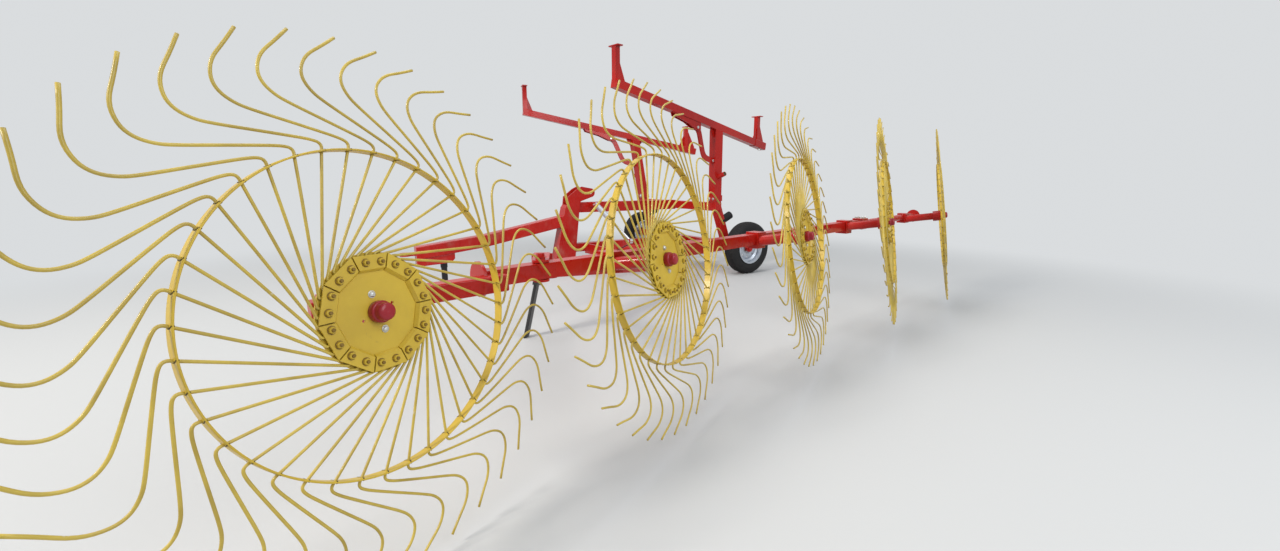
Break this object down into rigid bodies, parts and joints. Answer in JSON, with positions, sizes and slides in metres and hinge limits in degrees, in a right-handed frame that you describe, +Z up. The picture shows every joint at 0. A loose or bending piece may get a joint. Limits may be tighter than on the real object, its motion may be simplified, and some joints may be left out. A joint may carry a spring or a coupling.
{
  "type": "hay tedder",
  "caption": "Trailed hay tedder with finger wheels on a side wing: sloping drawbar, tower, tyred axle, masts with cradle bars, lifting boom, jack and parking stand.",
  "frame": {"origin": "centre of the towing eye's bore, half way through its thickness", "axes": "+Z up along the eye's bore, +Y from the eye back to the axle, +X to the machine's left, where the raking wing is"},
  "size_m": [5.5912, 5.7709, 2.3371],
  "materials": {
    "frame_red": "glossy",
    "wheel_yellow": "satin",
    "tine_yellow": "satin",
    "tyre_rubber": "matte",
    "rim_silver": "satin",
    "black_paint": "satin",
    "black_rubber": "matte",
    "rod_chrome": "polished"
  },
  "bodies": {
    "frame": {"drawbar": "frame_red", "towing_eye": "frame_red", "hitch_box": "frame_red", "tower": "frame_red", "leg_buffers": "black_rubber", "main_beam": "frame_red", "lower_beam": "frame_red", "cross_beam": "frame_red", "axle_beam": "frame_red", "wheel_legs": "frame_red", "masts": "frame_red", "cradle_bars": "frame_red", "mast_braces": "frame_red", "boom_bracket_front": "frame_red", "boom_bracket_rear": "frame_red", "jack_tube": "black_paint"},
    "jack": {"jack_leg": "black_paint"},
    "ground_wheel_left": {"tyre_left": "tyre_rubber", "wheel_rim_left": "rim_silver", "wheel_hub_left": "frame_red"},
    "ground_wheel_right": {"tyre_right": "tyre_rubber", "wheel_rim_right": "rim_silver", "wheel_hub_right": "frame_red"},
    "boom": {"torque_tube": "frame_red", "boom_arm": "frame_red", "stand_sleeve": "black_paint"},
    "stand": {"stand_leg": "black_paint"},
    "wing": {"wing_beam": "frame_red", "nose_beam": "frame_red", "end_tube": "frame_red", "tube_clamp": "frame_red", "wheel_stubs": "frame_red"},
    "lift_barrel": {"lift_barrel": "rim_silver"},
    "lift_rod": {"lift_rod": "rod_chrome"},
    "rake_wheel_1": {"tine_ring_1": "tine_yellow", "wheel_disc_1": "wheel_yellow", "hub_cap_1": "frame_red"},
    "rake_wheel_2": {"tine_ring_2": "tine_yellow", "wheel_disc_2": "wheel_yellow", "hub_cap_2": "frame_red"},
    "rake_wheel_3": {"tine_ring_3": "tine_yellow", "wheel_disc_3": "wheel_yellow", "hub_cap_3": "frame_red"},
    "rake_wheel_4": {"tine_ring_4": "tine_yellow", "wheel_disc_4": "wheel_yellow", "hub_cap_4": "frame_red"},
    "rake_wheel_5": {"tine_ring_5": "tine_yellow", "wheel_disc_5": "wheel_yellow", "hub_cap_5": "frame_red"}
  },
  "joints": [
    {"name": "ground_wheel_left_spin", "type": "hinge", "parent": "frame", "child": "ground_wheel_left", "pos_m": [1.15, 3.61, -0.06], "axis": [1, 0, 0], "continuous": true},
    {"name": "ground_wheel_right_spin", "type": "hinge", "parent": "frame", "child": "ground_wheel_right", "pos_m": [-1.15, 3.61, -0.06], "axis": [1, 0, 0], "continuous": true},
    {"name": "jack_slide", "type": "slide", "parent": "frame", "child": "jack", "axis": [0, 0, 1], "range_m": [0, 0.18]},
    {"name": "boom_lift", "type": "hinge", "parent": "frame", "child": "boom", "pos_m": [0.42, 2.1, -0.07], "axis": [0, -1, 0], "range_deg": [0, 40]},
    {"name": "stand_slide", "type": "slide", "parent": "boom", "child": "stand", "axis": [0, 0.2419, 0.9703], "range_m": [0, 0.2]},
    {"name": "wing_swing", "type": "hinge", "parent": "boom", "child": "wing", "pos_m": [3.56992, 0.02005, 0.37786], "axis": [0, 0, 1], "range_deg": [-10, 12]},
    {"name": "lift_barrel_tilt", "type": "hinge", "parent": "frame", "child": "lift_barrel", "pos_m": [0.15, 2.1, 0.452], "axis": [0, -1, 0], "range_deg": [0, 17.33]},
    {"name": "lift_rod_slide", "type": "slide", "parent": "lift_barrel", "child": "lift_rod", "axis": [-0.9075, 0, 0.42], "range_m": [0, 0.29732]},
    {"name": "rake_wheel_1_spin", "type": "hinge", "parent": "wing", "child": "rake_wheel_1", "pos_m": [3.96, -0.61, 0.382], "axis": [0.8746, 0.4611, 0.1495], "continuous": true},
    {"name": "rake_wheel_2_spin", "type": "hinge", "parent": "wing", "child": "rake_wheel_2", "pos_m": [3.77933, 0.50546, 0.408], "axis": [0.8746, 0.4611, 0.1495], "continuous": true},
    {"name": "rake_wheel_3_spin", "type": "hinge", "parent": "wing", "child": "rake_wheel_3", "pos_m": [3.59867, 1.62093, 0.422], "axis": [0.8746, 0.4611, 0.1495], "continuous": true},
    {"name": "rake_wheel_4_spin", "type": "hinge", "parent": "wing", "child": "rake_wheel_4", "pos_m": [3.418, 2.73639, 0.44], "axis": [0.8746, 0.4611, 0.1495], "continuous": true},
    {"name": "rake_wheel_5_spin", "type": "hinge", "parent": "wing", "child": "rake_wheel_5", "pos_m": [3.23734, 3.85186, 0.438], "axis": [0.8746, 0.4611, 0.1495], "continuous": true}
  ]
}
